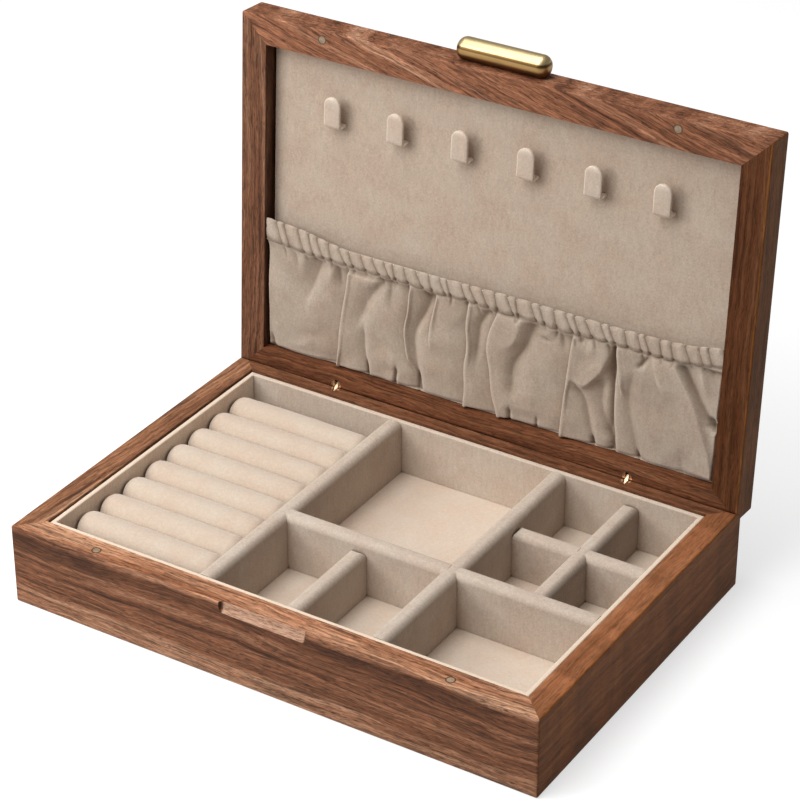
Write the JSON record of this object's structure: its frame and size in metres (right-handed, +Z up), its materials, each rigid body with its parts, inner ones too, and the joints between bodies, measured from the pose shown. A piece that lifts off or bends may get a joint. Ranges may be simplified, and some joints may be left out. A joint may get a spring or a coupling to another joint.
{
  "type": "wooden jewelry box",
  "caption": "Low walnut jewelry box with a suede-lined tray, ring cushions, and a hinged lid with hooks, an elastic pocket and a brass bar handle.",
  "frame": {"origin": "centre of the underside of the base", "axes": "+X to the right along the long front, +Y to the hinges at the back, +Z up"},
  "size_m": [0.28, 0.2132, 0.2373],
  "materials": {
    "walnut": "satin oiled walnut",
    "tray_suede": "beige suede",
    "tray_board": "fibreboard",
    "cushion_suede": "cream suede over foam",
    "lining_suede": "beige suede",
    "pocket_cloth": "beige suede cloth",
    "elastic": "woven elastic",
    "polished_brass": "polished",
    "hinge_brass": "bright turned",
    "steel": "plain steel",
    "magnet": "nickel plated"
  },
  "bodies": {
    "base": {"base_front_rail": "walnut", "base_back_rail": "walnut", "base_left_rail": "walnut", "base_right_rail": "walnut", "base_bottom_panel": "walnut", "base_magnets": "magnet", "tray_floor_board": "tray_board", "tray_floor_lining": "tray_suede", "tray_front_wall": "tray_suede", "tray_back_wall": "tray_suede", "tray_left_wall": "tray_suede", "tray_right_wall": "tray_suede", "ring_bay_divider": "tray_suede", "middle_cross_divider": "tray_suede", "front_cell_divider": "tray_suede", "right_bay_divider": "tray_suede", "right_cross_divider": "tray_suede", "small_cell_divider": "tray_suede", "small_cross_left": "tray_suede", "small_cross_right": "tray_suede", "ring_roll_1": "cushion_suede", "ring_roll_2": "cushion_suede", "ring_roll_3": "cushion_suede", "ring_roll_4": "cushion_suede", "ring_roll_5": "cushion_suede", "ring_roll_6": "cushion_suede", "ring_roll_7": "cushion_suede", "ring_roll_8": "cushion_suede", "lower_hinge_barrels": "hinge_brass", "lower_hinge_pins": "steel"},
    "links": {"hinge_links": "hinge_brass"},
    "lid": {"lid_front_rail": "walnut", "lid_back_rail": "walnut", "lid_left_rail": "walnut", "lid_right_rail": "walnut", "lid_top_panel": "walnut", "lid_magnets": "magnet", "lid_lining_board": "lining_suede", "hook_1": "lining_suede", "hook_2": "lining_suede", "hook_3": "lining_suede", "hook_4": "lining_suede", "hook_5": "lining_suede", "hook_6": "lining_suede", "elastic_pocket": "pocket_cloth", "pocket_elastic": "elastic", "handle_bar": "polished_brass", "handle_screws": "steel", "upper_hinge_barrels": "hinge_brass", "upper_hinge_pins": "steel"}
  },
  "joints": [
    {"name": "lid_swing", "type": "hinge", "parent": "links", "child": "lid", "pos_m": [0, 0.09318, 0.0425], "axis": [1, 0, 0], "range_deg": [0, 46.6]},
    {"name": "link_swing", "type": "hinge", "parent": "base", "child": "links", "pos_m": [0, 0.08947, 0.039], "axis": [1, 0, 0], "range_deg": [0, 46.6]}
  ],
  "couplings": [
    {"joint": "link_swing", "follows": "lid_swing", "ratio": 1}
  ]
}
